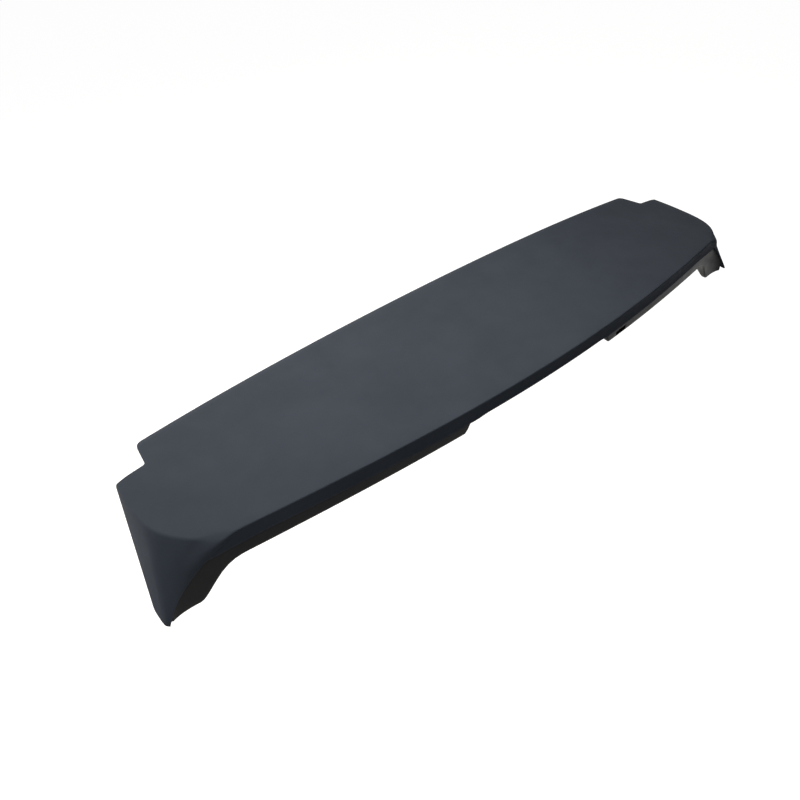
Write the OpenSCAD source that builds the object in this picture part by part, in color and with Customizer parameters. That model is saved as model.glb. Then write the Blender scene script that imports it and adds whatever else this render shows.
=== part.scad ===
// Tailgate spoiler: a painted outer skin over a black under panel, with its fixings.
// X is across the car, +Y points to the front of the car and +Z is up.
// The origin is midway between the outer studs, on the plane of their seats.

/* [Overall] */
// Width over the flare of the fins
overall_w = 1215; // [1190:1:1240]
// Width of the top between its side creases
top_w = 1145; // [1120:1:1155]
// Height of the top above the seats of the outer studs
top_h = 41.5; // [38:0.5:50]
// From the outer studs back to the trailing crease, at the centre
trail_reach = 215; // [200:1:240]
// From the outer studs forward to the front edge, at the centre
front_reach = 54.4; // [48:0.2:70]

/* [Top face] */
// How far the trailing crease sweeps forward at the tips
trail_sweep = 86.5; // [60:0.5:110]
// How much that sweep eases off towards the tips
trail_ease = 11.8; // [5:0.2:20]
// How far the front edge sweeps back at the tips
front_sweep = 5.7; // [2:0.1:12]
// Extra sweep of the front edge close to its ends
front_ease = 10; // [4:0.5:14]
// Fall of the trailing crease from the centre to the tips
rear_crown = 28.5; // [20:0.5:32]
// Fall of the front edge from the centre to the tips
front_crown = 20.5; // [14:0.5:26]
// Rise of the top between the front edge and the trailing crease
camber = 2; // [0:0.5:5]
// Width of the rolled band along each side of the top
roll_w = 26; // [15:1:40]
// Fall of the rolled band
roll_fall = 4.2; // [0:0.2:6]
// Radius of the crease all round the top
crease_r = 4.2; // [4:0.1:7]

/* [Front corners] */
// Half width of the front blade at its corners
blade_x = 513; // [495:0.5:516]
// Half width of the blade at the root of the corner notch
notch_x = 522; // [519:0.5:530]
// How far the root of the notch lies ahead of the outer studs
notch_y = 4.8; // [0:0.2:10]
// How far the shoulder of each side lies ahead of the outer studs
shoulder_y = 1.6; // [-6:0.2:3]
// How far the shoulder turns inward
shoulder_toe = 6.5; // [2:0.5:9]
// Rounding of the blade corner
blade_r = 9; // [4:0.5:12]
// Rounding at the root of the notch
notch_r = 4; // [2:0.5:6]

/* [Lip and fins] */
// Height of the rear lip of the skin
lip_h = 27.6; // [22:0.2:32]
// How far the foot of the lip lies ahead of the crease
lip_lean = 2.8; // [0:0.2:4]
// Depth of the lip where it turns down into the fin
lip_end_h = 32.6; // [32:0.2:40]
// Drop of each fin below the side crease
fin_drop = 96; // [85:1:105]
// How far below its tip the taper of the fin would close
fin_past = 5; // [4:0.5:8]
// How far the fin's front edge runs back over the whole taper
fin_run = 137.5; // [125:0.5:142]
// Plan radius of the rear corner at the crease
corner_r = 97; // [80:1:105]
// Plan radius of the rear corner at the fin tip
tip_r = 10; // [8:0.5:12]
// Rounding of the fin tip seen from the side
tip_round = 6; // [4:0.5:12]
// How far the rounding of the tip pulls it inward
tip_in = 2; // [1:0.2:6]
// How far the rear corner of the tip is rounded up
tip_back = 5; // [2:0.5:8]
// How far the lip is cut up over the lamp recess
lamp_relief = 2; // [0:0.5:4]

/* [Walls] */
// Wall of the outer skin
skin_t = 3; // [2.5:0.1:3.5]
// Wall of the under panel
panel_t = 2.8; // [2.2:0.1:3.2]
// Glue gap between the skin and the under panel
glue_gap = 0.5; // [0.4:0.05:0.8]
// How far the rear wall of the panel is set in behind the skin's face
set_in = 4.5; // [4:0.5:7]
// How far the panel reaches up inside the lip
lap = 6; // [4:0.5:8]

/* [Under panel] */
// Depth of the panel's rear foot below the top, at the centre
under_h = 49; // [46:0.5:54]
// Extra depth of the rear foot towards the tips
under_crown = 37.4; // [32:0.2:40]
// Half width over the inner feet of the fin legs
leg_root_x = 501; // [485:1:505]
// Width of the curved inner side of each leg
leg_side_w = 53; // [45:1:58]
// How far the nose edge of the skin stands below the panel
tip_stand = 3; // [2:0.5:5]
// How far the foot of the leg dips below the line of the nose
foot_low = 5; // [2:0.5:8]
// Rounding of the panel's rear foot
foot_r = 4; // [3.5:0.5:6]

/* [Lamp recess] */
// Half width of the recess at its ceiling
recess_top_x = 146; // [120:1:150]
// Half width of the recess at its mouth
recess_low_x = 160; // [156:1:165]
// Height of the recess ceiling below the top
recess_z = 31; // [29:0.5:36]
// Depth of the recess from the trailing crease
recess_y = 46; // [35:1:60]
// Distance from the centre to the near end of the slot for the lamp lead
slot_x = 177; // [175:1:185]
// Width of that slot
slot_w = 28; // [20:1:32]
// Height of that slot
slot_h = 8; // [6:0.5:9]
// Depth of the slot's upper edge below the top
slot_z = 40; // [38:0.5:41]

/* [Fixings] */
// Distance between the outer studs
outer_span = 860; // [800:2:880]
// Distance between the inner studs
inner_span = 340; // [320:2:380]
// Height of the inner seats above the outer seats
inner_rise = 12; // [6:0.5:14]
// Diameter of the stud thread
stud_d = 6; // [5:0.5:8]
// Length of stud below the seat
stud_len = 22; // [16:1:30]
// Diameter of the stud flange
flange_d = 16; // [14:0.5:20]
// Thickness of the stud flange
flange_t = 3; // [2:0.5:4]
// How much wider than the thread the plain neck inside the boss is
neck_more = 2; // [1:0.5:2.5]
// Radial clearance of that neck in its boss
stud_gap = 0.1; // [0.05:0.05:0.3]
// Outer diameter of a stud boss
boss_d = 22; // [19:0.5:26]
// Diameter of the nose that the seal ring fits round
nose_d = 13; // [11:0.5:15]
// Height of that nose
nose_h = 2.6; // [2:0.2:4]
// Thickness of a seal ring
ring_t = 3.4; // [3:0.2:5]
// Distance between the inner push clips
clip_span = 600; // [560:5:660]
// Height of the clip seats above the outer stud seats
clip_rise = 6; // [4:0.5:8]
// Diameter of the clip's shank
clip_d = 7; // [6:0.5:8]
// Length of clip below its seat
clip_len = 18; // [14:1:22]
// Outer diameter of a clip boss
clip_boss_d = 18; // [16:0.5:22]
// Width of the foam strip along the front edge
strip_w = 9; // [6:0.5:10]
// Thickness of the foam strip
strip_t = 4; // [3:0.5:6]

/* [Hidden] */

half_w = overall_w / 2;
side_w = top_w / 2;
fin_flare = half_w - side_w;
skin_black = "#15171a";
skin_blue = "#3f464e";

function mix(a, b, s) = a + (b - a) * s;
function clamp(s) = min(1, max(0, s));
function ease(s) = let (c = clamp(s)) c * c * (3 - 2 * c);
function span(x) = x / half_w;

// Plan curves and the height of the top face
function trail_y(x) = -trail_reach + trail_sweep * pow(span(x), 2) - trail_ease * pow(span(x), 4);
function trail_turn(x) = atan((2 * trail_sweep * span(x) - 4 * trail_ease * pow(span(x), 3)) / half_w);
function front_y(x) = front_reach - front_sweep * pow(span(x), 2) - front_ease * pow(span(x), 4);
function chord(x, y) = clamp((y - trail_y(x)) / (front_y(x) - trail_y(x)));
function roll(x) = roll_fall * pow(max(0, abs(x) - side_w + roll_w) / roll_w, 2);
function top_z(x, y) =
    let (s = chord(x, y))
    top_h - mix(rear_crown, front_crown, s) * pow(span(x), 2) + 4 * camber * s * (1 - s) - roll(x);

// Outline of the skin at a depth t below the crease. The rear corner tightens and
// the side flares out on the way down.
corner_power = 1.7;
round_depth = 5.5;
taper = fin_drop + fin_past;
lean_turn = 0.57 * taper;
lean_low = lip_lean / (1 - lip_h / lean_turn);
function down(t) = clamp(t / taper);
function side_x(t) = side_w + fin_flare * down(t) - tip_in * tip_cut(t);
function turn_r(t) = tip_r + (corner_r - tip_r) * pow(1 - down(t), corner_power);
function lean(t) = lean_low * (t / lip_h) * (1 - t / lean_turn);
function tip_cut(t) = let (s = clamp((t - fin_drop + round_depth) / round_depth)) 1 - sqrt(1 - s * s);
function nose_y(t) = shoulder_y - fin_run * down(t) - tip_round * tip_cut(t);
function turn_x(t) = side_x(t) - turn_r(t);
function turn_from(t) = trail_turn(turn_x(t) + 0.17 * turn_r(t));
function rear_end(t) = turn_x(t) + turn_r(t) * sin(turn_from(t));
function turn_y(t) = trail_y(rear_end(t)) + lean(t) + turn_r(t) * cos(turn_from(t));

// Plan points at depth t, moved in by d: on the rear, round the corner and along the side
function rear_at(x, t, d) =
    let (a = trail_turn(x))
    [x - d * sin(a), trail_y(x) + lean(t) + d * cos(a)];
function turn_at(a, t, d) =
    let (r = turn_r(t) - d)
    [turn_x(t) + r * sin(a), turn_y(t) - r * cos(a)];
function side_at(s, t, d) =
    [side_x(t) - d - shoulder_toe * s * s * (1 - down(t)), mix(turn_y(t), nose_y(t), s)];

// Columns of the skin from the centre to the shoulder: [kind, place, depth]
rear_n = 17;
return_n = 9;
turn_n = 7;
side_n = 4;
return_a = 24;
lip_turn = 0.86;
relief_run = 24;
function lip_depth(s) =
    mix(lip_h, lip_end_h, ease((s - lip_turn) / (1 - lip_turn)))
    - lamp_relief * ease((recess_top_x - s * rear_end(lip_h)) / relief_run);
tip_low = fin_drop - tip_back;
columns = concat(
    [for (k = [0:rear_n - 1]) let (s = k / rear_n) ["rear", s, lip_depth(s)]],
    [for (k = [0:return_n]) let (s = k / return_n) ["return", s, mix(lip_end_h, tip_low, s)]],
    [for (k = [1:turn_n]) let (s = k / turn_n) ["turn", mix(return_a, 90, s), mix(tip_low, fin_drop, ease(s))]],
    [for (k = [1:side_n]) ["side", k / side_n, fin_drop]]
);
function plan_at(c, t, d) =
    c[0] == "rear" ? rear_at(c[1] * rear_end(t), t, d) :
    c[0] == "return" ? turn_at(mix(turn_from(t), return_a, pow(c[1], 1 + clamp(t / lip_end_h))), t, d) :
    c[0] == "turn" ? turn_at(c[1], t, d) :
    side_at(c[1], t, d);

// Front outline of the skin, one point for each column
function toward(p, q, r) = p + (q - p) * r / norm(q - p);
function bend(p, q, e, r, s) =
    let (a = toward(q, p, r), b = toward(q, e, r))
    mix(mix(a, q, s), mix(q, b, s), s);
blade_start = blade_x - blade_r;
blade_corner = [blade_x, front_y(blade_x)];
notch_root = [notch_x, notch_y];
shoulder = [side_w - shoulder_toe, shoulder_y];
edge_n = return_n + turn_n + side_n - 6;
front_line = concat(
    [for (k = [0:rear_n - 1]) let (x = blade_start * k / rear_n) [x, front_y(x)]],
    [for (s = [0:3]) bend([blade_start, front_y(blade_start)], blade_corner, notch_root, blade_r, s / 3)],
    [for (s = [0:2]) bend(blade_corner, notch_root, shoulder, notch_r, s / 2)],
    [for (k = [1:edge_n]) toward(notch_root, shoulder, notch_r + 0.5 * norm(shoulder - notch_root) * k / edge_n)]
);

// Rows of the skin from the front edge over the crease to the foot
top_n = 8;
crease_n = 3;
skirt_n = 5;
function lift(p, z) = [p[0], p[1], z];
function skin_column(k, d) =
    let (
        c = columns[k],
        start = front_line[k],
        crease = plan_at(c, d, crease_r),
        edge = plan_at(c, 0, 0),
        edge_z = top_z(edge[0], edge[1])
    )
    concat(
        [for (j = [0:top_n - 1]) let (p = mix(start, crease, j / top_n)) lift(p, top_z(p[0], p[1]) - d)],
        [for (j = [0:crease_n]) let (
            a = 90 * j / crease_n,
            t = d + (crease_r - d) * (1 - cos(a)),
            p = plan_at(c, t, d + (crease_r - d) * (1 - sin(a)))
        ) lift(p, top_z(p[0], p[1]) - t)],
        [for (j = [1:skirt_n]) let (t = mix(crease_r, c[2] - round_depth, j / skirt_n))
            lift(plan_at(c, t, d), edge_z - t)],
        [lift(plan_at(c, c[2], d), edge_z - c[2])]
    );

// A closed shell from an outer and an inner grid of points, both given as half columns
// from the centre outward
function mirror_x(p) = [-p[0], p[1], p[2]];
function both_sides(half) =
    concat(
        [for (k = [len(half) - 1:-1:1]) [for (p = half[k]) mirror_x(p)]],
        half
    );
function flat(rows) = [for (r = rows) for (p = r) p];
function quad(a, b, c, d) = [[a, b, c], [a, c, d]];
module shell(outer_half, inner_half) {
    outer = both_sides(outer_half);
    inner = both_sides(inner_half);
    nc = len(outer);
    nr = len(outer[0]);
    half_n = nc * nr;
    rim = concat(
        [for (j = [0:nr - 1]) j],
        [for (k = [1:nc - 1]) k * nr + nr - 1],
        [for (j = [nr - 2:-1:0]) (nc - 1) * nr + j],
        [for (k = [nc - 2:-1:1]) k * nr]
    );
    rim_n = len(rim);
    faces = concat(
        [for (k = [0:nc - 2]) for (j = [0:nr - 2]) let (a = k * nr + j, b = a + nr)
            each k < (nc - 1) / 2 ? quad(a, b, b + 1, a + 1) : quad(b, b + 1, a + 1, a)],
        [for (k = [0:nc - 2]) for (j = [0:nr - 2]) let (a = half_n + k * nr + j, b = a + nr)
            each k < (nc - 1) / 2 ? quad(a, a + 1, b + 1, b) : quad(b, a, a + 1, b + 1)],
        [for (k = [0:rim_n - 1]) let (a = rim[k], b = rim[(k + 1) % rim_n])
            each quad(a, b, b + half_n, a + half_n)]
    );
    polyhedron(concat(flat(outer), flat(inner)), faces, convexity = 8);
}

// Under panel. Its rear wall starts just above the foot of the skin, inside it.
recess_cols = [0, 0.35, 0.7, 0.92, 1];
recess_end_cols = [0.2, 0.4, 0.6, 0.8, 1];
mid_n = 11;
leg_n = 7;
leg_cols_end = rear_end(lip_end_h);
panel_rear_x = concat(
    [for (s = recess_cols) s * recess_top_x],
    [for (s = recess_end_cols) mix(recess_top_x, recess_low_x, s)],
    [for (k = [1:mid_n]) mix(recess_low_x, leg_root_x, k / mid_n)],
    [for (k = [1:leg_n]) mix(leg_root_x, leg_cols_end - 4, k / leg_n)]
);
panel_columns = concat(
    [for (x = panel_rear_x) let (s = x / rear_end(lip_end_h)) ["rear", s, lip_depth(s)]],
    [for (k = [0:return_n]) let (s = k / return_n) ["return", s, mix(lip_end_h, tip_low, s)]],
    [for (k = [1:3]) ["turn", mix(return_a, 90, k / 3), tip_low]]
);
flange_in = 6;
flange_w = 16;
function fin_t(y) = taper * clamp((shoulder_y - y) / fin_run);
function side_in(y) =
    let (t = max(0, fin_t(y) - tip_stand - 2 * panel_t))
    side_x(t) - skin_t - glue_gap - shoulder_toe * (1 - down(t));
leg_fan_x = leg_root_x - 30;
function fan(x, y) =
    1 - ease((x - leg_fan_x) / (half_w - 10 - leg_fan_x)) * (1 - side_in(y) / side_in(-trail_reach));
stack_t = skin_t + glue_gap + panel_t;
function panel_end_y(x) =
    x < blade_x - 10 ? front_y(x) - flange_in :
    mix(front_y(x) - flange_in, min(notch_y, shoulder_y) - flange_in, clamp((x - blade_x + 10) / 14));
function flange_z(x, y) = top_z(x, y) - stack_t;
shoulder_z = top_z(shoulder[0], shoulder[1]);
foot_run = 16;
tip_y = shoulder_y - fin_run;
function base_z(x, y) =
    let (
        y0 = trail_y(x),
        y1 = front_y(x) - flange_in - 2 * flange_w,
        s = clamp((y - y0) / (y1 - y0)),
        rear_z = top_h - under_h - under_crown * pow(span(x), 2),
        low_z = mix(rear_z, top_z(x, y1) - stack_t - 8, pow(s, 1.2))
    )
    mix(low_z, flange_z(x, y), ease((y - y1) / flange_w));
function leg_z(x, y) = min(
    shoulder_z - fin_t(y) + tip_stand - foot_low * ease((tip_y + foot_run - y) / foot_run),
    flange_z(x, y));
function leg_share(x) = ease(pow(clamp((x - leg_root_x) / leg_side_w), 1.6));
function recess_share(x, y) =
    ease((recess_low_x - x) / (recess_low_x - recess_top_x))
    * ease((trail_y(0) + recess_y + 8 - y) / 8);
function under_z(root_x, x, y) =
    let (
        low = mix(base_z(x, y), leg_z(x, y), leg_share(root_x)),
        ceiling = top_h - recess_z
    )
    mix(low, max(low, ceiling), recess_share(root_x, y));

foot_n = 3;
wall_n = 2;
run_n = 17;
function run_s(k) = k / run_n;
function panel_column(c, d) =
    let (
        t0 = c[2] - lap,
        lip = plan_at(c, t0, skin_t + glue_gap),
        wall_top = plan_at(c, t0 - d, skin_t + glue_gap),
        back = set_in - skin_t - glue_gap,
        edge = plan_at(c, 0, 0),
        lip_z = top_z(edge[0], edge[1]) - t0,
        start = lip + [0, back + foot_r],
        root_x = start[0],
        foot_z = min(under_z(root_x, root_x, start[1]), lip_z - foot_r - 1),
        end_y = panel_end_y(root_x * fan(root_x, shoulder_y) / fan(root_x, start[1]))
    )
    concat(
        [lift(wall_top, lip_z + d)],
        [for (j = [0:wall_n - 1])
            lift(mix(wall_top, lip, j / wall_n) + [0, back + d], mix(lip_z + d, foot_z + foot_r, j / wall_n))],
        [for (j = [0:foot_n - 1]) let (a = 90 * j / foot_n)
            lift(lip + [0, back + d + (foot_r - d) * (1 - cos(a))], foot_z + d + (foot_r - d) * (1 - sin(a)))],
        [for (j = [0:run_n]) let (
            y = mix(start[1], end_y, run_s(j)),
            x = root_x * fan(root_x, y) / fan(root_x, start[1]),
            z = under_z(root_x, x, y),
            rise = (under_z(root_x, x, y + 1) - under_z(root_x, x, y - 1)) / 2,
            slope = (under_z(root_x + 1, x + 1, y) - under_z(root_x - 1, x - 1, y)) / 2,
            thick = d * min(1.8, sqrt(1 + rise * rise + slope * slope))
        ) [x, y, z + min(thick, max(d, top_z(x, y) - skin_t - glue_gap - z))]]
    );

// Fixings. Each sits in a boss that hangs from the under panel, with its head inside.
head_gap = 2;
seat_gap = 0.1;
neck_d = stud_d + neck_more;
studs = [
    [-outer_span / 2, 0], [-inner_span / 2, inner_rise],
    [inner_span / 2, inner_rise], [outer_span / 2, 0]
];
clips = [[-clip_span / 2, clip_rise], [clip_span / 2, clip_rise]];
function boss_top(x, head) = top_z(x, 0) - skin_t - head_gap - head;
module bosses_at(places, head, d) {
    for (p = places)
        translate([p[0], 0, p[1]])
            cylinder(h = boss_top(p[0], head) - p[1], d = d, $fn = 48);
}
module bores_at(places, head, d) {
    for (p = places)
        translate([p[0], 0, p[1] - 1])
            cylinder(h = boss_top(p[0], head) - p[1] + 2, d = d, $fn = 32);
}
module ring(h, outer_d, inner_d) {
    rotate_extrude($fn = 48)
        translate([inner_d / 2, 0])
            square([(outer_d - inner_d) / 2, h]);
}

module outer_skin() {
    color(skin_blue)
        shell(
            [for (k = [0:len(columns) - 1]) skin_column(k, 0)],
            [for (k = [0:len(columns) - 1]) skin_column(k, skin_t)]
        );
}

module lead_slot() {
    translate([slot_x, trail_y(slot_x + slot_w / 2) - set_in, top_h - slot_z - slot_h])
        cube([slot_w, 3 * set_in + 2 * panel_t, slot_h]);
}

module under_panel() {
    color(skin_black)
        difference() {
            union() {
                shell(
                    [for (c = panel_columns) panel_column(c, 0)],
                    [for (c = panel_columns) panel_column(c, panel_t)]
                );
                bosses_at(studs, flange_t, boss_d);
                bosses_at(clips, clip_head_t, clip_boss_d);
            }
            bores_at(studs, flange_t, neck_d + 2 * stud_gap);
            bores_at(clips, clip_head_t, clip_d + 2 * stud_gap);
            for (p = studs)
                translate([p[0], 0, p[1] - 1])
                    ring(nose_h + 1, boss_d + 2, nose_d);
            lead_slot();
        }
}

stud_end = 1;
module fixing_studs() {
    color("silver")
        for (p = studs)
            translate([p[0], 0, 0])
                rotate_extrude($fn = 48)
                    polygon([
                        [0, p[1] - stud_len],
                        [stud_d / 2 - stud_end, p[1] - stud_len],
                        [stud_d / 2, p[1] - stud_len + stud_end],
                        [stud_d / 2, p[1]],
                        [neck_d / 2, p[1]],
                        [neck_d / 2, boss_top(p[0], flange_t) + seat_gap],
                        [flange_d / 2, boss_top(p[0], flange_t) + seat_gap],
                        [flange_d / 2, boss_top(p[0], 0)],
                        [0, boss_top(p[0], 0)]
                    ]);
}

module stud_seals() {
    color("dimgray")
        for (p = studs)
            translate([p[0], 0, p[1] + nose_h - ring_t])
                ring(ring_t - seat_gap, boss_d - 1, nose_d + 2 * glue_gap);
}

clip_head_d = 14;
clip_head_t = 2.4;
barb_n = 4;
barb_out = 1.6;
barb_from = 3;
module push_clips() {
    color("ivory")
        for (p = clips) {
            top = boss_top(p[0], clip_head_t) + seat_gap;
            pitch = (clip_len - barb_from) / barb_n;
            translate([p[0], 0, 0])
                rotate_extrude($fn = 40)
                    polygon(concat(
                        [[0, p[1] - clip_len], [clip_d / 2 - barb_out, p[1] - clip_len]],
                        [for (k = [0:barb_n - 1]) let (z = p[1] - clip_len + k * pitch)
                            each [[clip_d / 2 + barb_out, z + 0.7 * pitch], [clip_d / 2 - barb_out, z + pitch]]],
                        [[clip_d / 2, p[1] - barb_from + 1], [clip_d / 2, top]],
                        [[clip_head_d / 2, top], [clip_head_d / 2, boss_top(p[0], 0)], [0, boss_top(p[0], 0)]]
                    ));
        }
}

strip_n = 40;
strip_in = flange_in + 1;
module front_seal() {
    end_x = blade_x - 24;
    sections = [for (k = [0:strip_n]) let (
        x = mix(-end_x, end_x, k / strip_n),
        y = front_y(abs(x)) - strip_in
    ) [
        [x, y, flange_z(x, y) - seat_gap],
        [x, y - strip_w, flange_z(x, y - strip_w) - seat_gap],
        [x, y - strip_w + 1, flange_z(x, y - strip_w) - strip_t],
        [x, y - 1, flange_z(x, y) - strip_t]
    ]];
    color("#202224")
        polyhedron(
            flat(sections),
            concat(
                [[0, 1, 2, 3]],
                [for (k = [0:strip_n - 1]) for (j = [0:3]) let (a = 4 * k + j, b = 4 * k + (j + 1) % 4)
                    each quad(a, a + 4, b + 4, b)],
                [[for (j = [3:-1:0]) 4 * strip_n + j]]
            ),
            convexity = 4
        );
}

outer_skin();
under_panel();
fixing_studs();
stud_seals();
push_clips();
front_seal();
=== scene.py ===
# Looks of the tailgate spoiler: a primed skin over a grained black under panel, with its fixings.
# The shape functions work in millimetres in the part's own frame, and the meshes are in metres.
# +X is to the right, +Y towards the car's roof and +Z up. A depth t is measured down from the
# skin's crease, and a distance d inwards from its outer face.

import itertools
import math

import bmesh
import bpy
import numpy as np
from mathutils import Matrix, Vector


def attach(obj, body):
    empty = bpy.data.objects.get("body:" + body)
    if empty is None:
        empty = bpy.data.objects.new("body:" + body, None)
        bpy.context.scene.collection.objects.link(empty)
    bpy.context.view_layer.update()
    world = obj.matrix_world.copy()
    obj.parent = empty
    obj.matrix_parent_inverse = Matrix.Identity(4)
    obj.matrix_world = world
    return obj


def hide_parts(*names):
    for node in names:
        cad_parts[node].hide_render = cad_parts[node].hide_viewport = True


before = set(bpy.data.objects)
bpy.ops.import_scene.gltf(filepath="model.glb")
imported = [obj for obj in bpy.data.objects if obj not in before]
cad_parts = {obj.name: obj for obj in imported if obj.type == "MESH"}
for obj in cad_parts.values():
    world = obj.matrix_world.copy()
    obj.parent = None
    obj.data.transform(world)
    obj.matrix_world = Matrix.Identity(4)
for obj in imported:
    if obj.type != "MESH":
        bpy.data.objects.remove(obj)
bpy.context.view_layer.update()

MM = 0.001
MERGE = 1e-6

# Main sizes of the top
HALF_W = 607.5
SIDE_W = 572.5
TOP_H = 41.5
TRAIL_REACH = 214.5
TRAIL_SWEEP = 86.5
TRAIL_EASE = 11.8
TURN_SHARE = 0.17
FRONT_REACH = 54.4
FRONT_SWEEP = 5.7
FRONT_EASE = 10.0
REAR_CROWN = 28.5
FRONT_CROWN = 20.5
CAMBER = 2.0
ROLL_W = 26.0
ROLL_FALL = 4.2

# Front corners
BLADE_X = 513.0
BLADE_R = 9.0
NOTCH = np.array([522.0, 4.8])
NOTCH_R = 4.0
BLADE_N = 16
NOTCH_N = 10
SHOULDER_TOE = 6.5
SHOULDER = np.array([SIDE_W - SHOULDER_TOE, 1.6])

# Lip and fins: FIN_DROP is the fin's depth at its rear corner and NOSE_DROP at its front end,
# and the outline tapers over a depth of TAPER
LIP_H = 27.6
LIP_LEAN = 2.8
LIP_END_H = 32.6
LIP_TURN = 0.86
LAMP_RELIEF = 2.0
RELIEF_RUN = 24.0
FIN_DROP = 96.0
NOSE_DROP = 100.0
TAPER = FIN_DROP + 5.0
FIN_RUN = 137.5
CORNER_R = 97.0
CORNER_POWER = 1.7
TIP_R = 10.0
TIP_ROUND = 6.0
TIP_IN = 8.0
TIP_BACK = 5.0
TIP_LOW = FIN_DROP - TIP_BACK
TIP_DEEP_AT = 0.28
TIP_SIDE_UP = 2.4
ROUND_DEPTH = 11.5
LEAN_SHARE = 0.57
LEAN_TURN = LEAN_SHARE * TAPER
LEAN_LOW = LIP_LEAN / (1 - LIP_H / LEAN_TURN)
RETURN_A = 24.0

# Creases of the skin: sharp all round, and soft where the lip turns down into the fin,
# with a swell of the skin below that. Places are distances from the middle.
CREASE_R = 2.2
SOFT_R = 5.0
SOFT_FROM = 500.0
SOFT_TO = 542.0
SWELL_FROM = 490.0
SWELL_AT = 516.0
SWELL_TO = 541.0
SWELL_OUT = 6.0
SWELL_RISE = 6.0
SWELL_FADE = 48.0

# Walls, and how the panel sits in the skin
SKIN_T = 3.0
PANEL_T = 2.8
GLUE_GAP = 0.5
STACK_T = SKIN_T + GLUE_GAP + PANEL_T
SET_IN = 4.5
LAP = 6.0
FOOT_R = 4.0
FOOT_LEAST = 1.0
THICK_MOST = 1.8

# Underside of the panel, and the flange at its front
UNDER_H = 49.0
UNDER_CROWN = 37.4
BASE_POWER = 1.2
FLANGE_IN = 6.0
FLANGE_W = 16.0
FLANGE_STEP = 8.0
END_BACK = 10.0
END_RUN = 14.0

# Legs of the panel inside the fins
LEG_ROOT_X = 478.0
LEG_SIDE_W = 76.0
LEG_POWER = 1.9
LEG_FAN_X = 471.0
FAN_EDGE = 10.0
TIP_STAND = 3.0
FOOT_LOW = 5.0
FOOT_RUN = 16.0

# Lamp recess in the middle, and the slot beside it
RECESS_TOP_X = 146.0
RECESS_LOW_X = 160.0
RECESS_Z = 31.0
RECESS_Y = 46.0
RECESS_RUN = 8.0
SLOT_X = 177.0
SLOT_W = 28.0
SLOT_H = 8.0
SLOT_Z = 40.0

# Fixings: each stud and clip has its x and the height of its seat
STUDS = [(-430.0, 0.0), (-170.0, 12.0), (170.0, 12.0), (430.0, 0.0)]
CLIPS = [(-300.0, 6.0), (300.0, 6.0)]
STUD_D = 6.0
NECK_MORE = 2.0
STUD_LEN = 22.0
FLANGE_T = 3.0
BOSS_D = 22.0
NOSE_D = 13.0
NOSE_H = 2.6
CLIP_D = 7.0
CLIP_HEAD_T = 2.4
CLIP_BOSS_D = 18.0
CLIP_NOSE_H = 1.0
HEAD_GAP = 2.0
BORE_GAP = 0.1
NOSE_EDGE = 0.4
BOSS_EDGE = 0.5
CUT_PAST = 1.0
BOSS_SIDES = 64
BORE_SIDES = 40

# Rounded rims of the mouldings, and the angle past which an edge stays sharp
SKIN_RIM = 0.5
PANEL_RIM = 0.35
RIM_ANGLE = 50
SHARP_ANGLE = 40

# Thread of the studs, as rings repeated down each shank
THREAD_PITCH = 1.0
THREAD_R = 0.34
THREAD_N = 18
THREAD_END = 1.2
THREAD_SINK = 0.75
RING_SIDES = 28
RIDGE_SIDES = 6


def mix(a, b, s):
    return a + (b - a) * s


def clamp(s):
    return np.clip(s, 0.0, 1.0)


def ease(s):
    c = clamp(s)
    return c * c * (3 - 2 * c)


def bump(s):
    """0 at both ends of 0 to 1 and 1 in the middle."""
    c = clamp(s)
    return 0.5 - 0.5 * np.cos(2 * math.pi * c)


# Top face
def trail_y(x):
    s = x / HALF_W
    return -TRAIL_REACH + TRAIL_SWEEP * s**2 - TRAIL_EASE * s**4


def trail_turn(x):
    s = x / HALF_W
    return np.arctan((2 * TRAIL_SWEEP * s - 4 * TRAIL_EASE * s**3) / HALF_W)


def front_y(x):
    s = x / HALF_W
    return FRONT_REACH - FRONT_SWEEP * s**2 - FRONT_EASE * s**4


def roll(x):
    return ROLL_FALL * (np.maximum(0, np.abs(x) - SIDE_W + ROLL_W) / ROLL_W) ** 2


def top_z(x, y):
    s = clamp((y - trail_y(x)) / (front_y(x) - trail_y(x)))
    crown = mix(REAR_CROWN, FRONT_CROWN, s) * (x / HALF_W) ** 2
    return TOP_H - crown + 4 * CAMBER * s * (1 - s) - roll(x)


# Outline of the skin at a depth t below its crease
def down(t):
    return clamp(t / TAPER)


def tip_cut(t):
    s = clamp((t - NOSE_DROP + ROUND_DEPTH) / ROUND_DEPTH)
    return 1 - np.sqrt(np.maximum(0, 1 - s * s))


def side_x(t):
    return SIDE_W + (HALF_W - SIDE_W) * down(t) - TIP_IN * tip_cut(t)


def turn_r(t):
    return TIP_R + (CORNER_R - TIP_R) * (1 - down(t)) ** CORNER_POWER


def lean(t):
    return LEAN_LOW * (t / LIP_H) * (1 - t / LEAN_TURN)


def nose_y(t):
    return SHOULDER[1] - FIN_RUN * down(t) - TIP_ROUND * tip_cut(t)


def turn_x(t):
    return side_x(t) - turn_r(t)


def turn_from(t):
    return trail_turn(turn_x(t) + TURN_SHARE * turn_r(t))


def rear_end(t):
    return turn_x(t) + turn_r(t) * np.sin(turn_from(t))


def turn_y(t):
    return trail_y(rear_end(t)) + lean(t) + turn_r(t) * np.cos(turn_from(t))


def rear_at(x, t, d):
    a = trail_turn(x)
    return x - d * np.sin(a), trail_y(x) + lean(t) + d * np.cos(a)


def turn_at(a, t, d):
    r = turn_r(t) - d
    return turn_x(t) + r * np.sin(a), turn_y(t) - r * np.cos(a)


def side_at(s, t, d):
    return side_x(t) - d - SHOULDER_TOE * s * s * (1 - down(t)), mix(turn_y(t), nose_y(t), s)


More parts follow.
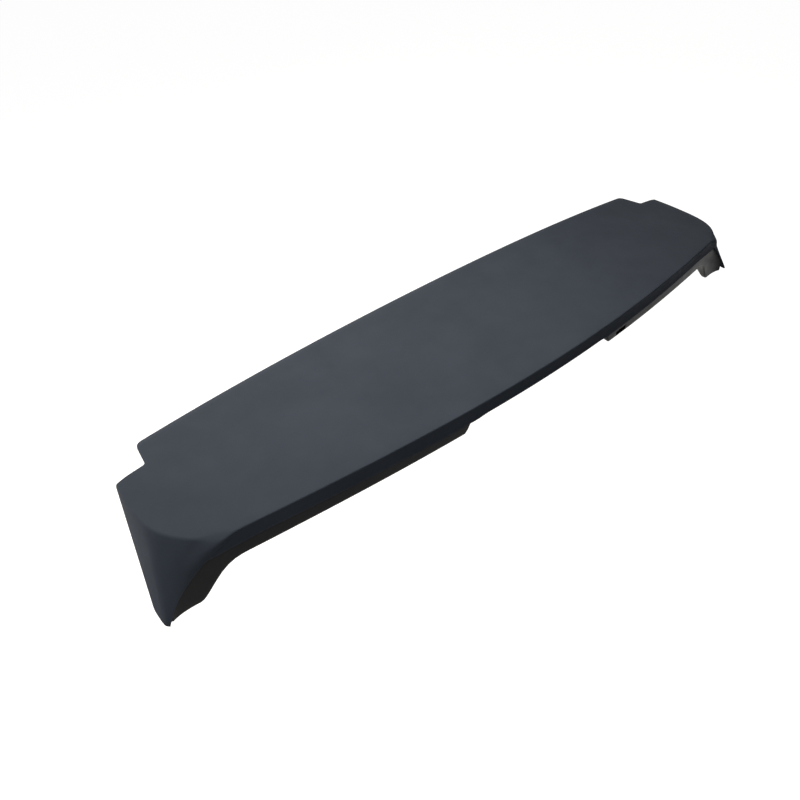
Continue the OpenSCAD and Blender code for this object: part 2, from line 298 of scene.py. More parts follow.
def swell(kind, s, t):
    """How far the skin swells outwards below its crease, where the lip turns down into the fin."""
    x = float(plan_at(kind, s, 0.0, 0.0)[0])
    come = ease((x - SWELL_FROM) / (SWELL_AT - SWELL_FROM))
    go = ease((x - SWELL_AT) / (SWELL_TO - SWELL_AT))
    share = come * (1 - go)
    return SWELL_OUT * share * (1 - np.exp(-t / SWELL_RISE)) * (1 - ease(t / SWELL_FADE))


def plan_at(kind, s, t, d):
    """Plan point of a column: the rear lip, its return, the corner's turn or the side face."""
    t = np.asarray(t, float)
    d = np.asarray(d, float)
    if kind == "rear":
        return rear_at(s * rear_end(t), t, d)
    if kind == "return":
        share = s ** (1 + clamp(t / LIP_END_H))
        return turn_at(mix(turn_from(t), math.radians(RETURN_A), share), t, d)
    if kind == "turn":
        return turn_at(math.radians(mix(RETURN_A, 90, s)), t, d)
    return side_at(s, t, d)


def lip_depth(s):
    deep = mix(LIP_H, LIP_END_H, ease((s - LIP_TURN) / (1 - LIP_TURN)))
    return deep - LAMP_RELIEF * ease((RECESS_TOP_X - s * rear_end(LIP_H)) / RELIEF_RUN)


def column_depth(kind, s):
    if kind == "rear":
        return lip_depth(s)
    if kind == "return":
        return mix(LIP_END_H, TIP_LOW, s)
    if kind == "turn":
        deep = mix(TIP_LOW, FIN_DROP, ease(s / TIP_DEEP_AT))
        return deep - TIP_SIDE_UP * ease((s - TIP_DEEP_AT) / (1 - TIP_DEEP_AT))
    return mix(FIN_DROP - TIP_SIDE_UP, NOSE_DROP, ease(s))


# Front outline of the skin
def toward(p, q, r):
    """The point a distance r from p on the way to q."""
    return p + (q - p) * r / np.linalg.norm(q - p)


def bend(p, q, e, r, s):
    """A round of reach r at the corner q between p and e."""
    a = toward(q, p, r)
    b = toward(q, e, r)
    return mix(mix(a, q, s), mix(q, b, s), s)


def corner_path(count):
    """Points from the end of the blade's straight edge round the notch, evenly spaced."""
    start_x = BLADE_X - BLADE_R
    start = np.array([start_x, front_y(start_x)])
    corner = np.array([BLADE_X, front_y(BLADE_X)])
    half_way = 0.5 * np.linalg.norm(SHOULDER - NOTCH)
    path = [bend(start, corner, NOTCH, BLADE_R, s) for s in np.linspace(0, 1, BLADE_N)]
    path += [bend(corner, NOTCH, SHOULDER, NOTCH_R, s) for s in np.linspace(0, 1, NOTCH_N)]
    path.append(toward(NOTCH, SHOULDER, NOTCH_R + half_way))
    path = np.array(path)
    run = np.r_[0, np.cumsum(np.linalg.norm(np.diff(path, axis=0), axis=1))]
    at = np.linspace(0, run[-1], count)
    return np.c_[np.interp(at, run, path[:, 0]), np.interp(at, run, path[:, 1])]


# Skin columns, from the centre to the shoulder
REAR_N = 120
RETURN_N = 48
TURN_N = 44
SIDE_N = 26
TOP_N = 26
CREASE_N = 8
SKIRT_N = 44

# Rows of the skirt lie closer together towards the lower edge
SKIRT_CROWD = 1.4

SKIN_COLUMNS = (
    [("rear", k / REAR_N) for k in range(REAR_N)]
    + [("return", k / RETURN_N) for k in range(RETURN_N + 1)]
    + [("turn", k / TURN_N) for k in range(1, TURN_N + 1)]
    + [("side", k / SIDE_N) for k in range(1, SIDE_N + 1)]
)


def crease_radius(x):
    return CREASE_R + SOFT_R * bump((x - SOFT_FROM) / (SOFT_TO - SOFT_FROM))


def skin_at(kind, s, t, d):
    """As plan_at, with the swell."""
    return plan_at(kind, s, t, d - swell(kind, s, np.asarray(t, float)))


def skin_column(kind, s, start, d):
    """One column of the skin from its front edge over the crease and down to the lower edge."""
    edge_x, edge_y = plan_at(kind, s, 0, 0)
    edge_z = top_z(edge_x, edge_y)
    r = crease_radius(edge_x)
    crease = np.array(plan_at(kind, s, d, r))
    j = np.arange(TOP_N)[:, None] / TOP_N
    top = mix(start, crease, j)
    top = np.c_[top, top_z(top[:, 0], top[:, 1]) - d]
    a = np.radians(90 * np.arange(CREASE_N + 1) / CREASE_N)
    t = d + (r - d) * (1 - np.cos(a))
    x, y = skin_at(kind, s, t, d + (r - d) * (1 - np.sin(a)))
    turn = np.c_[x, y, top_z(x, y) - t]
    rise = (1 - np.arange(1, SKIRT_N + 1) / SKIRT_N) ** SKIRT_CROWD
    t = mix(column_depth(kind, s), r, rise)
    x, y = skin_at(kind, s, t, d)
    join = (turn[-1, 2] - edge_z + r) * (1 - clamp((t - r) / r))
    return np.vstack([top, turn, np.c_[x, y, edge_z - t + join]])


def skin_half(d):
    ends = corner_path(len(SKIN_COLUMNS) - REAR_N)
    rows = []
    for k, (kind, s) in enumerate(SKIN_COLUMNS):
        if k < REAR_N:
            x = (BLADE_X - BLADE_R) * k / REAR_N
            start = np.array([x, front_y(x)])
        else:
            start = ends[k - REAR_N]
        rows.append(skin_column(kind, s, start, d))
    return np.array(rows)


# Under panel
def fin_t(y):
    return TAPER * clamp((SHOULDER[1] - y) / FIN_RUN)


def side_in(y):
    t = np.maximum(0, fin_t(y) - TIP_STAND - 2 * PANEL_T)
    return side_x(t) - SKIN_T - GLUE_GAP - SHOULDER_TOE * (1 - down(t))


def fan(x, y):
    """The share of its x that a column of the panel keeps at y, as the fin narrows forwards."""
    reach = (x - LEG_FAN_X) / (HALF_W - FAN_EDGE - LEG_FAN_X)
    return 1 - ease(reach) * (1 - side_in(y) / side_in(-TRAIL_REACH))


def panel_end_y(x):
    along = front_y(x) - FLANGE_IN
    notch = min(NOTCH[1], SHOULDER[1]) - FLANGE_IN
    return mix(along, notch, clamp((x - BLADE_X + END_BACK) / END_RUN))


def flange_z(x, y):
    return top_z(x, y) - STACK_T


def base_z(x, y):
    y0 = trail_y(x)
    y1 = front_y(x) - FLANGE_IN - 2 * FLANGE_W
    s = clamp((y - y0) / (y1 - y0))
    rear_z = TOP_H - UNDER_H - UNDER_CROWN * (x / HALF_W) ** 2
    low_z = mix(rear_z, flange_z(x, y1) - FLANGE_STEP, s**BASE_POWER)
    return mix(low_z, flange_z(x, y), ease((y - y1) / FLANGE_W))


SHOULDER_Z = float(top_z(SHOULDER[0], SHOULDER[1]))
TIP_Y = SHOULDER[1] - FIN_RUN


def leg_z(x, y):
    foot = FOOT_LOW * ease((TIP_Y + FOOT_RUN - y) / FOOT_RUN)
    return np.minimum(SHOULDER_Z - fin_t(y) + TIP_STAND - foot, flange_z(x, y))


def leg_share(x):
    return ease(clamp((x - LEG_ROOT_X) / LEG_SIDE_W) ** LEG_POWER)


def recess_share(x, y):
    side = ease((RECESS_LOW_X - x) / (RECESS_LOW_X - RECESS_TOP_X))
    return side * ease((trail_y(0.0) + RECESS_Y + RECESS_RUN - y) / RECESS_RUN)


def under_z(root_x, x, y):
    low = mix(base_z(x, y), leg_z(x, y), leg_share(root_x))
    ceiling = np.maximum(low, TOP_H - RECESS_Z)
    return mix(low, ceiling, recess_share(root_x, y))


# Rows down the panel's rear wall, round its foot and along its run, and columns along its edge
PANEL_WALL_N = 6
PANEL_FOOT_N = 6
PANEL_RUN_N = 64
RECESS_N = 24
RECESS_SIDE_N = 14
PANEL_MID_N = 70
LEG_N = 8
PANEL_TURN_N = 8
COLUMN_GAP = 1.0


def panel_columns():
    end = float(rear_end(LIP_END_H))
    places = np.r_[
        np.linspace(0, RECESS_TOP_X, RECESS_N, endpoint=False),
        np.linspace(RECESS_TOP_X, RECESS_LOW_X, RECESS_SIDE_N, endpoint=False),
        np.linspace(RECESS_LOW_X, LEG_ROOT_X, PANEL_MID_N, endpoint=False),
        np.linspace(LEG_ROOT_X, end - COLUMN_GAP, LEG_N),
    ]
    return (
        [("rear", x / end) for x in places]
        + [("return", k / RETURN_N) for k in range(RETURN_N + 1)]
        + [("turn", k / PANEL_TURN_N) for k in range(1, PANEL_TURN_N + 1)]
    )


def panel_depth(kind, s):
    if kind == "rear":
        return lip_depth(s)
    return mix(LIP_END_H, TIP_LOW, s if kind == "return" else 1.0)


def panel_column(kind, s, d):
    """One column of the panel: down its rear wall, round the foot and forward to the flange."""
    t0 = panel_depth(kind, s) - LAP
    lip_x, lip_y = plan_at(kind, s, t0, SKIN_T + GLUE_GAP)
    in_x, in_y = plan_at(kind, s, t0 - d, SKIN_T + GLUE_GAP)
    back = SET_IN - SKIN_T - GLUE_GAP
    edge_x, edge_y = plan_at(kind, s, 0, 0)
    lip_z = float(top_z(edge_x, edge_y) - t0)
    start_y = lip_y + back + FOOT_R
    root_x = float(lip_x)
    foot_z = min(float(under_z(root_x, root_x, start_y)), lip_z - FOOT_R - FOOT_LEAST)
    end_y = panel_end_y(root_x * fan(root_x, SHOULDER[1]) / fan(root_x, start_y))
    rows = [[in_x, in_y, lip_z + d]]
    for j in range(PANEL_WALL_N):
        z = mix(lip_z + d, foot_z + FOOT_R, j / PANEL_WALL_N)
        share = j / PANEL_WALL_N
        rows.append([mix(in_x, root_x, share), mix(in_y, lip_y, share) + back + d, z])
    for j in range(PANEL_FOOT_N):
        a = math.radians(90 * j / PANEL_FOOT_N)
        out = back + d + (FOOT_R - d) * (1 - math.cos(a))
        rows.append([root_x, lip_y + out, foot_z + d + (FOOT_R - d) * (1 - math.sin(a))])
    y = mix(start_y, end_y, np.arange(PANEL_RUN_N + 1) / PANEL_RUN_N)
    x = root_x * fan(root_x, y) / fan(root_x, start_y)
    z = under_z(root_x, x, y)
    rise = (under_z(root_x, x, y + 1) - under_z(root_x, x, y - 1)) / 2
    slope = (under_z(root_x + 1, x + 1, y) - under_z(root_x - 1, x - 1, y)) / 2
    # Measured upright, a sloping wall is thicker than it is across
    thick = d * np.minimum(THICK_MOST, np.sqrt(1 + rise**2 + slope**2))
    room = np.maximum(d, top_z(x, y) - SKIN_T - GLUE_GAP - z)
    run = np.c_[x, y, z + np.minimum(thick, room)]
    return np.vstack([np.array(rows, float), run])


def panel_half(d):
    return np.array([panel_column(kind, s, d) for kind, s in panel_columns()])


# Meshes
def both_sides(half):
    mirrored = half[:0:-1].copy()
    mirrored[:, :, 0] *= -1
    return np.concatenate([mirrored, half])


def shell_faces(nc, nr):
    """Quads of a closed shell: an outer grid, an inner grid and the rim between them."""
    half_n = nc * nr
    k, j = np.meshgrid(np.arange(nc - 1), np.arange(nr - 1), indexing="ij")
    a = (k * nr + j).ravel()
    outer = np.c_[a, a + nr, a + nr + 1, a + 1]
    inner = np.c_[a, a + 1, a + nr + 1, a + nr] + half_n
    rim = np.r_[
        np.arange(nr),
        np.arange(1, nc) * nr + nr - 1,
        (nc - 1) * nr + np.arange(nr - 2, -1, -1),
        np.arange(nc - 2, 0, -1) * nr,
    ]
    after = np.roll(rim, -1)
    edge = np.c_[rim, after, after + half_n, rim + half_n]
    return np.vstack([outer, inner, edge])


def new_object(name, verts, faces):
    mesh = bpy.data.meshes.new(name)
    mesh.from_pydata((np.asarray(verts) * MM).tolist(), [], np.asarray(faces).tolist())
    mesh.validate()
    piece = bpy.data.objects.new(name, mesh)
    bpy.context.scene.collection.objects.link(piece)
    return piece


def point_outwards(piece):
    """Merges poles and seams and turns every face outwards."""
    bm = bmesh.new()
    bm.from_mesh(piece.data)
    bmesh.ops.remove_doubles(bm, verts=bm.verts, dist=MERGE)
    bmesh.ops.recalc_face_normals(bm, faces=bm.faces)
    if bm.calc_volume(signed=True) < 0:
        bmesh.ops.reverse_faces(bm, faces=bm.faces)
    bm.to_mesh(piece.data)
    bm.free()


def shell_object(name, half_at, thickness):
    outer = both_sides(half_at(0.0))
    inner = both_sides(half_at(thickness))
    verts = np.vstack([outer.reshape(-1, 3), inner.reshape(-1, 3)])
    piece = new_object(name, verts, shell_faces(outer.shape[0], outer.shape[1]))
    point_outwards(piece)
    return piece


def use(piece, modifier):
    """Takes the evaluated mesh in place of the modifier, and drops the modifier."""
    graph = bpy.context.evaluated_depsgraph_get()
    graph.update()
    mesh = bpy.data.meshes.new_from_object(piece.evaluated_get(graph))
    piece.modifiers.remove(modifier)
    old = piece.data
    piece.data = mesh
    bpy.data.meshes.remove(old)


def soften_rims(piece, width):
    bevel = piece.modifiers.new("rims", "BEVEL")
    bevel.width = width * MM
    bevel.segments = 2
    bevel.limit_method = "ANGLE"
    bevel.angle_limit = math.radians(RIM_ANGLE)
    use(piece, bevel)


def shade(piece):
    piece.data.shade_smooth()
    piece.data.set_sharp_from_angle(angle=math.radians(SHARP_ANGLE))


def cut_or_join(piece, tool, operation):
    boolean = piece.modifiers.new("solid", "BOOLEAN")
    boolean.operation = operation
    boolean.solver = "MANIFOLD"
    boolean.object = tool
    use(piece, boolean)
    bpy.data.objects.remove(tool)


def turned_object(name, profile, x, steps):
    """A solid of revolution about the vertical through x, from rows of radius and height."""
    angles = np.linspace(0, 2 * math.pi, steps, endpoint=False)
    verts = [[x + r * math.cos(a), r * math.sin(a), z] for a in angles for r, z in profile]
    n = len(profile)
    faces = []
    for k in range(steps):
        here = k * n
        after = ((k + 1) % steps) * n
        for j in range(n):
            up = (j + 1) % n
            faces.append([here + j, after + j, after + up, here + up])
    piece = new_object(name, verts, faces)
    point_outwards(piece)
    return piece


def boss_top(x, head):
    return float(top_z(x, 0.0)) - SKIN_T - HEAD_GAP - head


def boss_profile(x, seat, head, outer, nose, nose_h):
    """The solid boss with its seat nose, before the bore is cut."""
    top = boss_top(x, head)
    step = seat + nose_h
    return [
        [0, seat],
        [nose / 2 - NOSE_EDGE, seat],
        [nose / 2, seat + NOSE_EDGE],
        [nose / 2, step],
        [outer / 2 - BOSS_EDGE, step],
        [outer / 2, step + BOSS_EDGE],
        [outer / 2, top - BOSS_EDGE],
        [outer / 2 - BOSS_EDGE, top],
        [0, top],
    ]


def bore_profile(x, seat, head, bore):
    low = seat - CUT_PAST
    high = boss_top(x, head) + CUT_PAST
    return [[0, low], [bore / 2, low], [bore / 2, high], [0, high]]


def block(name, low, high):
    corners = [list(corner) for corner in itertools.product(*zip(low, high))]
    faces = [
        [0, 1, 3, 2],
        [4, 6, 7, 5],
        [0, 4, 5, 1],
        [2, 3, 7, 6],
        [0, 2, 6, 4],
        [1, 5, 7, 3],
    ]
    piece = new_object(name, corners, faces)
    point_outwards(piece)
    return piece


# Materials, with the range that most of a noise's values lie in
NOISE_LOW = 0.3
NOISE_HIGH = 0.7


def node(tree, kind, **settings):
    made = tree.nodes.new(kind)
    for name, value in settings.items():
        setattr(made, name, value)
    return made


def plain_material(name, color, roughness, specular):
    material = bpy.data.materials.new(name)
    material.use_nodes = True
    shader = material.node_tree.nodes["Principled BSDF"]
    shader.inputs["Base Color"].default_value = (*color, 1)
    shader.inputs["Roughness"].default_value = roughness
    shader.inputs["Specular IOR Level"].default_value = specular
    return material, material.node_tree, shader


def noise(tree, coords, scale, detail=3.0, rough=0.55):
    made = node(tree, "ShaderNodeTexNoise")
    made.inputs["Scale"].default_value = scale
    made.inputs["Detail"].default_value = detail
    made.inputs["Roughness"].default_value = rough
    tree.links.new(coords, made.inputs["Vector"])
    return made.outputs["Fac"]


def ranged(tree, value, low, high):
    made = node(tree, "ShaderNodeMapRange")
    made.inputs["From Min"].default_value = NOISE_LOW
    made.inputs["From Max"].default_value = NOISE_HIGH
    made.inputs["To Min"].default_value = low
    made.inputs["To Max"].default_value = high
    tree.links.new(value, made.inputs["Value"])
    return made.outputs["Result"]


def tinted(tree, value, dark, light):
    made = node(tree, "ShaderNodeMix", data_type="RGBA")
    made.inputs["A"].default_value = (*dark, 1)
    made.inputs["B"].default_value = (*light, 1)
    tree.links.new(value, made.inputs["Factor"])
    return made.outputs["Result"]


def bumped(tree, shader, height, strength, distance, below=None):
    made = node(tree, "ShaderNodeBump")
    made.inputs["Strength"].default_value = strength
    made.inputs["Distance"].default_value = distance
    tree.links.new(height, made.inputs["Height"])
    if below is not None:
        tree.links.new(below, made.inputs["Normal"])
    tree.links.new(made.outputs["Normal"], shader.inputs["Normal"])
    return made.outputs["Normal"]


def object_coords(tree):
    return node(tree, "ShaderNodeTexCoord").outputs["Object"]


def primer():
    """Blue-grey primer: flat, with faint mottling and a fine sprayed texture."""
    dark = (0.052, 0.063, 0.081)
    light = (0.060, 0.072, 0.092)
    material, tree, shader = plain_material("blue_grey_primer", light, 0.48, 0.002)
    coords = object_coords(tree)
    mottle = noise(tree, coords, 14.0, 4.0)
    colors = tinted(tree, ranged(tree, mottle, 0.0, 1.0), dark, light)
    tree.links.new(colors, shader.inputs["Base Color"])
    tree.links.new(ranged(tree, noise(tree, coords, 55.0), 0.44, 0.52), shader.inputs["Roughness"])
    peel = bumped(tree, shader, noise(tree, coords, 420.0, 2.0), 0.10, 0.00006)
    bumped(tree, shader, noise(tree, coords, 2600.0, 2.0), 0.12, 0.00002, peel)
    return material


def grained_black():
    """Raw black moulding: a fine mould grain and a low sheen."""
    base = (0.018, 0.018, 0.018)
    material, tree, shader = plain_material("grained_black_plastic", base, 0.40, 0.05)
    coords = object_coords(tree)
    cells = node(tree, "ShaderNodeTexVoronoi", feature="SMOOTH_F1")
    cells.inputs["Scale"].default_value = 900.0
    tree.links.new(coords, cells.inputs["Vector"])
    tone = ranged(tree, noise(tree, coords, 18.0, 4.0), 0.0, 1.0)
    colors = tinted(tree, tone, (0.014, 0.0143, 0.0152), (0.0205, 0.0207, 0.0212))
    tree.links.new(colors, shader.inputs["Base Color"])
    tree.links.new(ranged(tree, noise(tree, coords, 40.0), 0.36, 0.46), shader.inputs["Roughness"])
    bumped(tree, shader, cells.outputs["Distance"], 0.12, 0.00008)
    return material


def plated_steel():
    """Zinc-plated steel: pale metal with faint drawn streaks along the shank."""
    material, tree, shader = plain_material("zinc_plated_steel", (0.62, 0.62, 0.60), 0.32, 0.5)
    shader.inputs["Metallic"].default_value = 1.0
    coords = object_coords(tree)
    stretched = node(tree, "ShaderNodeMapping")
    stretched.inputs["Scale"].default_value = (1.0, 1.0, 0.08)
    tree.links.new(coords, stretched.inputs["Vector"])
    streaks = noise(tree, stretched.outputs["Vector"], 900.0)
    tree.links.new(ranged(tree, streaks, 0.25, 0.42), shader.inputs["Roughness"])
    tone = ranged(tree, noise(tree, coords, 160.0), 0.0, 1.0)
    colors = tinted(tree, tone, (0.55, 0.54, 0.50), (0.68, 0.68, 0.67))
    tree.links.new(colors, shader.inputs["Base Color"])
    bumped(tree, shader, streaks, 0.15, 0.00005)
    return material


def foam():
    """Closed-cell foam: matt, with open pores on its cut faces."""
    material, tree, shader = plain_material("closed_cell_foam", (0.03, 0.03, 0.032), 0.9, 0.2)
    coords = object_coords(tree)
    pores = node(tree, "ShaderNodeTexVoronoi", feature="F1")
    pores.inputs["Scale"].default_value = 1500.0
    tree.links.new(coords, pores.inputs["Vector"])
    tone = ranged(tree, noise(tree, coords, 300.0), 0.0, 1.0)
    colors = tinted(tree, tone, (0.020, 0.020, 0.022), (0.042, 0.042, 0.044))
    tree.links.new(colors, shader.inputs["Base Color"])
    tree.links.new(ranged(tree, tone, 0.82, 0.95), shader.inputs["Roughness"])
    bumped(tree, shader, pores.outputs["Distance"], 0.6, 0.0003)
    return material


def clip_nylon():
    """Natural nylon of the push clips: warm white and slightly waxy."""
    material, tree, shader = plain_material("natural_nylon", (0.72, 0.69, 0.60), 0.42, 0.5)
    coords = object_coords(tree)
    tone = ranged(tree, noise(tree, coords, 220.0), 0.0, 1.0)
    colors = tinted(tree, tone, (0.66, 0.63, 0.54), (0.76, 0.73, 0.65))
    tree.links.new(colors, shader.inputs["Base Color"])
    wax = ranged(tree, noise(tree, coords, 500.0), 0.36, 0.48)
    tree.links.new(wax, shader.inputs["Roughness"])
    bumped(tree, shader, noise(tree, coords, 700.0), 0.2, 0.00006)
    return material


# Thread rings
def thread_tree(material):
    """Rings of a given ridge and radius, one pitch apart, down from each point it is given."""
    tree = bpy.data.node_groups.new("stud_thread", "GeometryNodeTree")
    sockets = {
        "Geometry": "Geometry",
        "Radius": "Float",
        "Pitch": "Float",
        "Count": "Int",
        "Ridge": "Float",
    }
    for name, kind in sockets.items():
        tree.interface.new_socket(name, in_out="INPUT", socket_type="NodeSocket" + kind)
    tree.interface.new_socket("Geometry", in_out="OUTPUT", socket_type="NodeSocketGeometry")
    given = node(tree, "NodeGroupInput")
    result = node(tree, "NodeGroupOutput")
    link = tree.links.new
    step = node(tree, "ShaderNodeCombineXYZ")
    down_by = node(tree, "ShaderNodeMath", operation="MULTIPLY")
    down_by.inputs[1].default_value = -1.0
    link(given.outputs["Pitch"], down_by.inputs[0])
    link(down_by.outputs[0], step.inputs["Z"])
    line = node(tree, "GeometryNodeMeshLine", mode="OFFSET")
    link(given.outputs["Count"], line.inputs["Count"])
    link(step.outputs["Vector"], line.inputs["Offset"])
    spots = node(tree, "GeometryNodeInstanceOnPoints")
    link(given.outputs["Geometry"], spots.inputs["Points"])
    link(line.outputs["Mesh"], spots.inputs["Instance"])
    lines = node(tree, "GeometryNodeRealizeInstances")
    link(spots.outputs["Instances"], lines.inputs["Geometry"])
    ring = node(tree, "GeometryNodeCurvePrimitiveCircle")
    ring.inputs["Resolution"].default_value = RING_SIDES
    link(given.outputs["Radius"], ring.inputs["Radius"])
    ridge = node(tree, "GeometryNodeCurvePrimitiveCircle")
    ridge.inputs["Resolution"].default_value = RIDGE_SIDES
    link(given.outputs["Ridge"], ridge.inputs["Radius"])
    hoop = node(tree, "GeometryNodeCurveToMesh")
    link(ring.outputs["Curve"], hoop.inputs["Curve"])
    link(ridge.outputs["Curve"], hoop.inputs["Profile Curve"])
    hoops = node(tree, "GeometryNodeInstanceOnPoints")
    link(lines.outputs["Geometry"], hoops.inputs["Points"])
    link(hoop.outputs["Mesh"], hoops.inputs["Instance"])
    real = node(tree, "GeometryNodeRealizeInstances")
    link(hoops.outputs["Instances"], real.inputs["Geometry"])
    finish = node(tree, "GeometryNodeSetMaterial")
    finish.inputs["Material"].default_value = material
    link(real.outputs["Geometry"], finish.inputs["Geometry"])
    link(finish.outputs["Geometry"], result.inputs["Geometry"])
    return tree


def set_input(modifier, name, value):
    for item in modifier.node_group.interface.items_tree:
        if item.item_type == "SOCKET" and item.in_out == "INPUT" and item.name == name:
            modifier[item.identifier] = value


def stud_threads(material):
    run = THREAD_PITCH * (THREAD_N - 1)
    tops = [[x, 0.0, seat - STUD_LEN + THREAD_END + run] for x, seat in STUDS]
    piece = new_object("stud_threads", tops, np.zeros((0, 3), int))
    rings = piece.modifiers.new("rings", "NODES")
    rings.node_group = thread_tree(material)
    set_input(rings, "Radius", (STUD_D / 2 - THREAD_R * THREAD_SINK) * MM)
    set_input(rings, "Pitch", THREAD_PITCH * MM)
    set_input(rings, "Count", THREAD_N)
    set_input(rings, "Ridge", THREAD_R * MM)
    use(piece, rings)
    point_outwards(piece)
    shade(piece)
    return piece


# Pieces
def outer_skin(material):
    piece = shell_object("primed_skin", skin_half, SKIN_T)
    soften_rims(piece, SKIN_RIM)
    shade(piece)
    piece.data.materials.append(material)
    return piece


def under_panel(material):
    piece = shell_object("grained_panel", panel_half, PANEL_T)
    for x, seat in STUDS:
        profile = boss_profile(x, seat, FLANGE_T, BOSS_D, NOSE_D, NOSE_H)
        cut_or_join(piece, turned_object("boss", profile, x, BOSS_SIDES), "UNION")
    for x, seat in CLIPS:
        profile = boss_profile(x, seat, CLIP_HEAD_T, CLIP_BOSS_D, CLIP_BOSS_D, CLIP_NOSE_H)
        cut_or_join(piece, turned_object("boss", profile, x, BOSS_SIDES), "UNION")
    for x, seat in STUDS:
        bore = bore_profile(x, seat, FLANGE_T, STUD_D + NECK_MORE + 2 * BORE_GAP)
        cut_or_join(piece, turned_object("bore", bore, x, BORE_SIDES), "DIFFERENCE")
    for x, seat in CLIPS:
        bore = bore_profile(x, seat, CLIP_HEAD_T, CLIP_D + 2 * BORE_GAP)
        cut_or_join(piece, turned_object("bore", bore, x, BORE_SIDES), "DIFFERENCE")
    y = float(trail_y(SLOT_X + SLOT_W / 2)) - SET_IN
    low = (SLOT_X, y, TOP_H - SLOT_Z - SLOT_H)
    high = (SLOT_X + SLOT_W, y + 3 * SET_IN + 2 * PANEL_T, TOP_H - SLOT_Z)
    cut_or_join(piece, block("slot", low, high), "DIFFERENCE")
    soften_rims(piece, PANEL_RIM)
    shade(piece)
    piece.data.materials.clear()
    piece.data.materials.append(material)
    return piece


def dress_node(name, material):
    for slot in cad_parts[name].material_slots:
        slot.material = material


# Stage, in metres, with the lens in millimetres
FLOOR_Z = -0.36
FLOOR_SIZE = 40.0
CAMERA_AT = Vector((-0.8282, -0.7957, 0.7781))
CAMERA_TO = Vector((-0.2163, -0.1321, 0.0420))
LENS = 39.44
SENSOR = 36.0
VIEW_END = 100.0

# The floor's own tone, its white as the camera sees it, and the light of the surroundings
FLOOR_TONE = 0.35
FLOOR_LIFT = 0.96
WORLD_LIGHT = 0.05


def camera():
    data = bpy.data.cameras.new("camera")
    data.lens = LENS
    data.sensor_width = SENSOR
    data.clip_end = VIEW_END
    seen_by = bpy.data.objects.new("camera", data)
    seen_by.location = CAMERA_AT
    seen_by.rotation_euler = (CAMERA_TO - CAMERA_AT).to_track_quat("-Z", "Y").to_euler()
    bpy.context.scene.collection.objects.link(seen_by)
    bpy.context.scene.camera = seen_by


def seen_directly(tree):
    """1 for a ray from the camera, or one that a glossy or clear surface sends on."""
    path = node(tree, "ShaderNodeLightPath")
    first = node(tree, "ShaderNodeMath", operation="ADD")
    both = node(tree, "ShaderNodeMath", operation="ADD", use_clamp=True)
    tree.links.new(path.outputs["Is Camera Ray"], first.inputs[0])
    tree.links.new(path.outputs["Is Glossy Ray"], first.inputs[1])
    tree.links.new(first.outputs[0], both.inputs[0])
    tree.links.new(path.outputs["Is Transmission Ray"], both.inputs[1])
    return both.outputs[0]


def studio_floor():
    half = FLOOR_SIZE / 2
    plan = [(-half, -half), (half, -half), (half, half), (-half, half)]
    corners = [[x, y, FLOOR_Z] for x, y in plan]
    floor = new_object("studio_floor", np.array(corners) / MM, [[0, 1, 2, 3]])
    material = bpy.data.materials.new("white_paper")
    material.use_nodes = True
    tree = material.node_tree
    tree.nodes.clear()
    paper = node(tree, "ShaderNodeBsdfDiffuse")
    paper.inputs["Color"].default_value = (FLOOR_TONE, FLOOR_TONE, FLOOR_TONE, 1)
    glow = node(tree, "ShaderNodeEmission")
    lift = node(tree, "ShaderNodeMath", operation="MULTIPLY")
    lift.inputs[1].default_value = FLOOR_LIFT
    tree.links.new(seen_directly(tree), lift.inputs[0])
    tree.links.new(lift.outputs[0], glow.inputs["Strength"])
    both = node(tree, "ShaderNodeAddShader")
    tree.links.new(paper.outputs[0], both.inputs[0])
    tree.links.new(glow.outputs[0], both.inputs[1])
    out = node(tree, "ShaderNodeOutputMaterial")
    tree.links.new(both.outputs[0], out.inputs["Surface"])
    floor.data.materials.append(material)


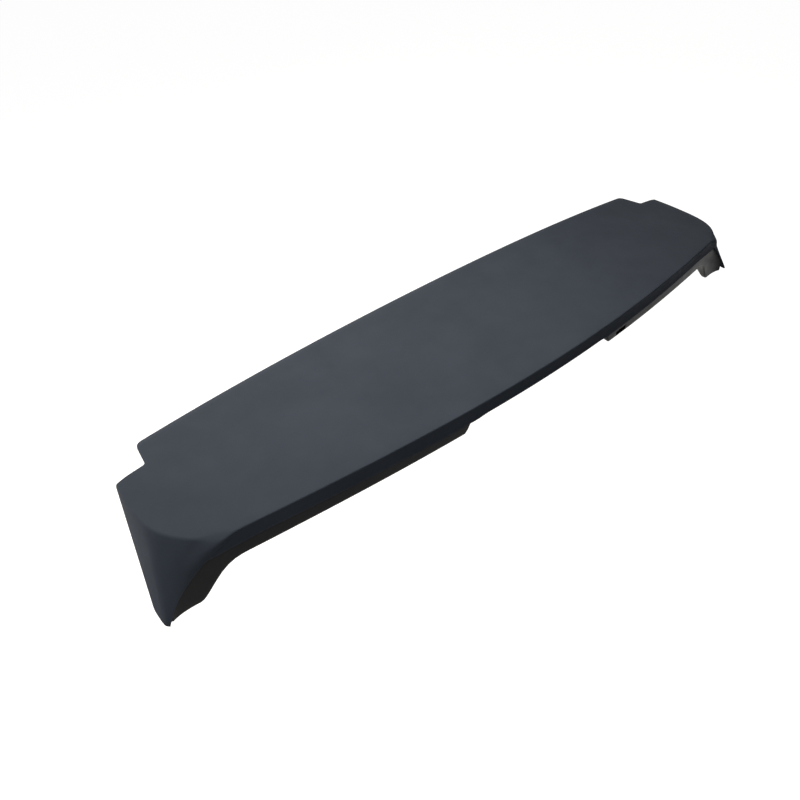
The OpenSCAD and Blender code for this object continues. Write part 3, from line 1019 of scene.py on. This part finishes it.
def studio_world():
    world = bpy.data.worlds.new("studio")
    bpy.context.scene.world = world
    world.use_nodes = True
    tree = world.node_tree
    back = tree.nodes["Background"]
    back.inputs["Color"].default_value = (1, 1, 1, 1)
    strength = node(tree, "ShaderNodeMix", data_type="FLOAT")
    strength.inputs["A"].default_value = WORLD_LIGHT
    strength.inputs["B"].default_value = 1.0
    tree.links.new(seen_directly(tree), strength.inputs["Factor"])
    tree.links.new(strength.outputs["Result"], back.inputs["Strength"])


def soft_light(name, place, aim, size, power, tint):
    data = bpy.data.lights.new(name, "AREA")
    data.shape = "RECTANGLE"
    data.size, data.size_y = size
    data.energy = power
    data.color = tint
    lamp = bpy.data.objects.new(name, data)
    lamp.location = place
    lamp.rotation_euler = (Vector(aim) - Vector(place)).to_track_quat("-Z", "Y").to_euler()
    bpy.context.scene.collection.objects.link(lamp)


WHITE = (1.0, 1.0, 1.0)
CREAM = (1.0, 0.94, 0.87)
IVORY = (1.0, 0.95, 0.88)
AMBER = (1.0, 0.86, 0.72)

# Name, place, aim, size, watts and tint of each soft box
LAMPS = [
    ("overhead_rear", (-0.18, -0.05, 0.8), (-0.18, -0.07, 0.0), (0.8, 0.5), 4.8, CREAM),
    ("overhead_front", (-0.12, 0.25, 1.3), (-0.12, -0.02, 0.0), (1.0, 0.8), 4.7, CREAM),
    ("front_left", (-1.7, 0.9, 0.15), (-0.5, -0.05, 0.0), (0.8, 0.5), 4.6, WHITE),
    ("front", (-0.95, 1.6, 0.1), (-0.6, 0.0, 0.0), (0.5, 0.5), 60.0, AMBER),
    ("right_front", (1.8, 0.5, 0.35), (0.55, -0.05, 0.0), (0.6, 0.4), 3.0, IVORY),
    ("camera_side", (-1.3, -0.9, 1.3), (-0.4, -0.1, 0.0), (1.0, 1.0), 7.2, WHITE),
]


def main():
    bpy.context.scene.view_settings.view_transform = "Standard"
    camera()
    studio_floor()
    studio_world()
    for lamp in LAMPS:
        soft_light(*lamp)

    primed = primer()
    grained = grained_black()
    steel = plated_steel()
    cells = foam()
    nylon = clip_nylon()

    skin = outer_skin(primed)
    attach(skin, "root")
    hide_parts("outer_skin")

    panel = under_panel(grained)
    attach(panel, "root")
    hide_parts("under_panel")

    threads = stud_threads(steel)
    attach(threads, "root")

    fixings = {"fixing_studs": steel, "stud_seals": cells, "push_clips": nylon, "front_seal": cells}
    for name, material in fixings.items():
        dress_node(name, material)


main()
